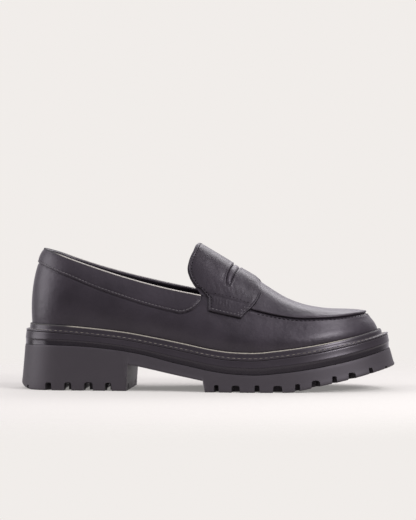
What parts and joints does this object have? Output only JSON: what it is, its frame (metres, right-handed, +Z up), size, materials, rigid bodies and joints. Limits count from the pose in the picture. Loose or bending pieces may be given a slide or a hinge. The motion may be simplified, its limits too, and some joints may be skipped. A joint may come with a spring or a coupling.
{
  "type": "chunky lug sole loafer",
  "caption": "Right slip-on loafer: hollow black leather upper with moccasin apron and slotted saddle strap, on a welted chunky lug sole with a block heel.",
  "frame": {"origin": "on the floor, under the middle of the sole's outline", "axes": "+X from heel to toe along the sole's length, +Y to the inner (medial) side of the right foot, +Z up"},
  "size_m": [0.287, 0.1084, 0.1118],
  "materials": {
    "leather_black": "smooth black leather, semi-gloss, fine grain",
    "collar_leather": "smooth black leather, semi-gloss, lightly padded",
    "saddle_leather": "smooth black leather, semi-gloss, finely creased",
    "insole_sock": "matt black leather sock",
    "welt_gloss": "moulded, satin, with a stitched groove",
    "midsole_gloss": "moulded, semi-gloss",
    "outsole_rubber": "matt black rubber"
  },
  "bodies": {
    "root": {"upper": "leather_black", "collar": "collar_leather", "saddle": "saddle_leather", "insole": "insole_sock", "welt": "welt_gloss", "midsole": "midsole_gloss", "outsole": "outsole_rubber"}
  },
  "joints": []
}
